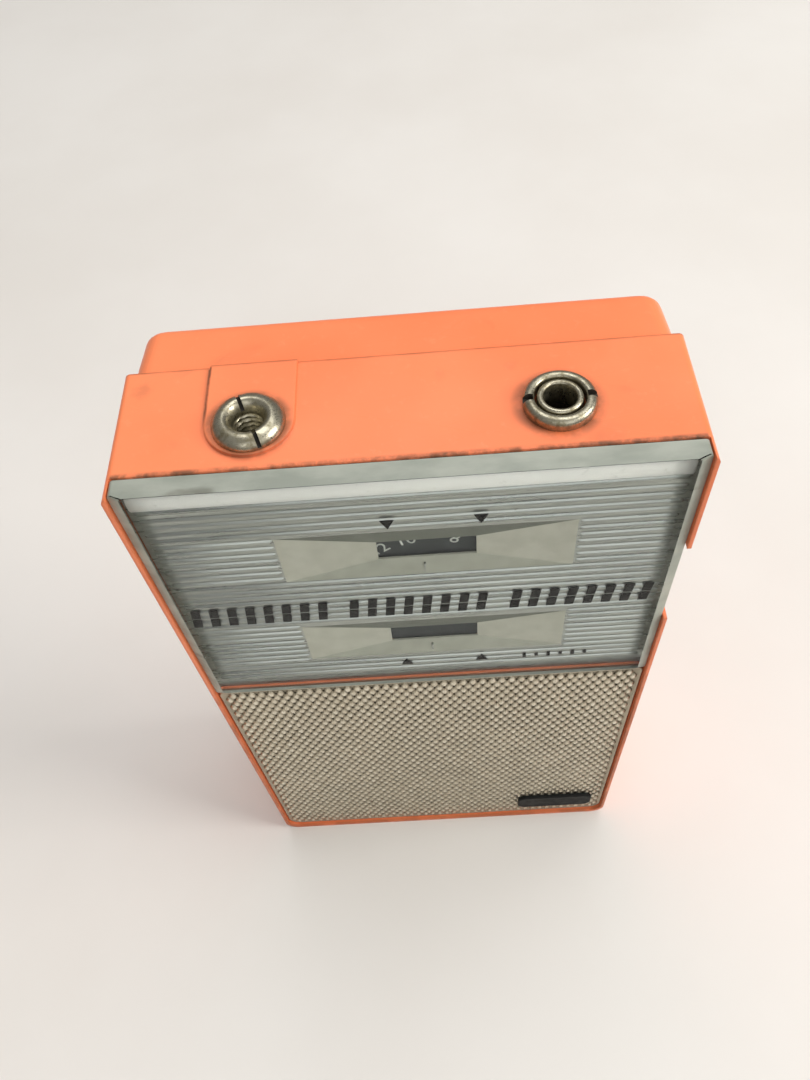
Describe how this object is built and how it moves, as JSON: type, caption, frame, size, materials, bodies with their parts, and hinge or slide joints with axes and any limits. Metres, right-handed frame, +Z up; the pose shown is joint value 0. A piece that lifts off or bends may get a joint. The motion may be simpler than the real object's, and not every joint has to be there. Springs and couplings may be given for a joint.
{
  "type": "transistor pocket radio",
  "caption": "Slim upright pocket radio: orange two-shell case, clear dial lens over a ribbed plate, mesh speaker grille, side thumbwheels, antenna socket and earphone jack.",
  "frame": {"origin": "middle of the whole object's box at the level of the flat base it stands on", "axes": "+Z up, -Y out of the dial and grille, +X to the right seen from the front; the tuning wheel is on the +X side"},
  "size_m": [0.065, 0.0274, 0.1138],
  "materials": {
    "orange_plastic": "moulded coral-orange polystyrene, satin gloss with fine rub marks",
    "plated_screw": "zinc-plated steel",
    "clear_acrylic": "clear acrylic with bevelled edges, slightly yellowed",
    "dial_aluminium": "bright ribbed sheet with matt window funnels",
    "grille_metal": "warm silver expanded mesh",
    "badge_black": "black enamel",
    "aged_nickel": "worn nickel plate, slightly tarnished",
    "brass": "turned brass",
    "dark_phenolic": "dark phenolic",
    "wheel_plastic": "black moulded plastic, ridged",
    "dial_grey": "matt grey printed disc",
    "cream_nylon": "cream nylon",
    "pot_fibre": "pressed fibre and metal",
    "plain_steel": "plated sheet steel",
    "cone_paper": "dark pressed paper",
    "copper_winding": "enamelled copper wire",
    "magnet_alloy": "cast magnet alloy",
    "board_laminate": "brown paper-phenolic laminate",
    "ferrite": "sintered ferrite",
    "transformer_iron": "varnished laminations",
    "transistor_can": "painted metal can",
    "blue_sleeve": "plastic sleeve",
    "disc_tan": "dipped ceramic",
    "resistor_body": "moulded carbon composition",
    "diode_glass": "small glass-bodied diode",
    "fibre_sheet": "pressed fibre sheet",
    "battery_jacket": null,
    "black_vinyl": "vinyl",
    "red_vinyl": "vinyl insulation",
    "white_vinyl": "vinyl insulation",
    "yellow_vinyl": "vinyl insulation",
    "green_vinyl": "vinyl insulation"
  },
  "bodies": {
    "case": {"front_case": "orange_plastic", "dial_lens": "clear_acrylic", "dial_plate": "dial_aluminium", "speaker_grille": "grille_metal", "badge": "badge_black", "antenna_socket": "aged_nickel", "antenna_nut": "brass", "antenna_lug": "aged_nickel", "jack_nut": "aged_nickel", "jack_body": "dark_phenolic", "jack_contacts": "brass", "tuning_stud": "plated_screw", "varicon_body": "cream_nylon", "varicon_screws": "plated_screw", "varicon_trimmers": "brass", "volume_pot": "pot_fibre", "band_switch_body": "plain_steel", "speaker_frame": "plain_steel", "speaker_surround": "cone_paper", "speaker_yoke": "plain_steel", "speaker_magnet": "magnet_alloy", "speaker_clips": "plated_screw", "speaker_screws": "plated_screw", "speaker_terminals": "dark_phenolic", "circuit_board": "board_laminate", "board_screws": "plated_screw", "ferrite_rod": "ferrite", "ferrite_coils": "copper_winding", "ferrite_holders": "cream_nylon", "if_cans": "aged_nickel", "oscillator_coils": "aged_nickel", "audio_transformers": "transformer_iron", "transistors": "transistor_can", "electrolytics": "blue_sleeve", "ceramic_capacitors": "disc_tan", "resistors": "resistor_body", "diode": "diode_glass", "battery_plate": "fibre_sheet", "battery": "battery_jacket", "battery_snap": "black_vinyl", "red_lead": "red_vinyl", "black_lead": "black_vinyl", "speaker_wires": "white_vinyl", "jack_wires": "yellow_vinyl", "antenna_wire": "green_vinyl"},
    "rear_cover": {"rear_cover": "orange_plastic"},
    "cover_screw": {"cover_screw": "plated_screw"},
    "tuning": {"tuning_wheel": "wheel_plastic", "tuning_pinion": "cream_nylon"},
    "dial": {"dial_disc": "dial_grey", "dial_gear": "cream_nylon", "dial_screw": "brass", "varicon_shaft": "brass"},
    "volume": {"volume_wheel": "wheel_plastic", "volume_screw": "brass", "volume_shaft": "brass"},
    "band": {"band_slider": "wheel_plastic"},
    "cone": {"speaker_cone": "cone_paper", "voice_coil": "copper_winding"}
  },
  "joints": [
    {"name": "cover_slide", "type": "slide", "parent": "case", "child": "rear_cover", "axis": [0, 1, 0], "range_m": [0, 0.03]},
    {"name": "cover_screw_turn", "type": "hinge", "parent": "rear_cover", "child": "cover_screw", "pos_m": [-0.024, 0.01, 0.042], "axis": [0, 1, 0], "range_deg": [0, 810]},
    {"name": "tuning_turn", "type": "hinge", "parent": "case", "child": "tuning", "pos_m": [0.02145, -0.006, 0.0867], "axis": [0, 1, 0], "range_deg": [-135, 405]},
    {"name": "dial_turn", "type": "hinge", "parent": "case", "child": "dial", "pos_m": [0.00145, -0.0079, 0.0867], "axis": [0, 1, 0], "range_deg": [-135, 45]},
    {"name": "volume_turn", "type": "hinge", "parent": "case", "child": "volume", "pos_m": [-0.0225, 0.0031, 0.07], "axis": [0, 1, 0], "range_deg": [0, 300]},
    {"name": "band_slide", "type": "slide", "parent": "case", "child": "band", "axis": [0, 0, 1], "range_m": [0, 0.0032]},
    {"name": "cone_travel", "type": "slide", "parent": "case", "child": "cone", "axis": [0, -1, 0], "range_m": [-0.0003, 0.0003], "stiffness_N_per_m": 600}
  ],
  "couplings": [
    {"joint": "dial_turn", "follows": "tuning_turn", "ratio": -0.33333}
  ]
}
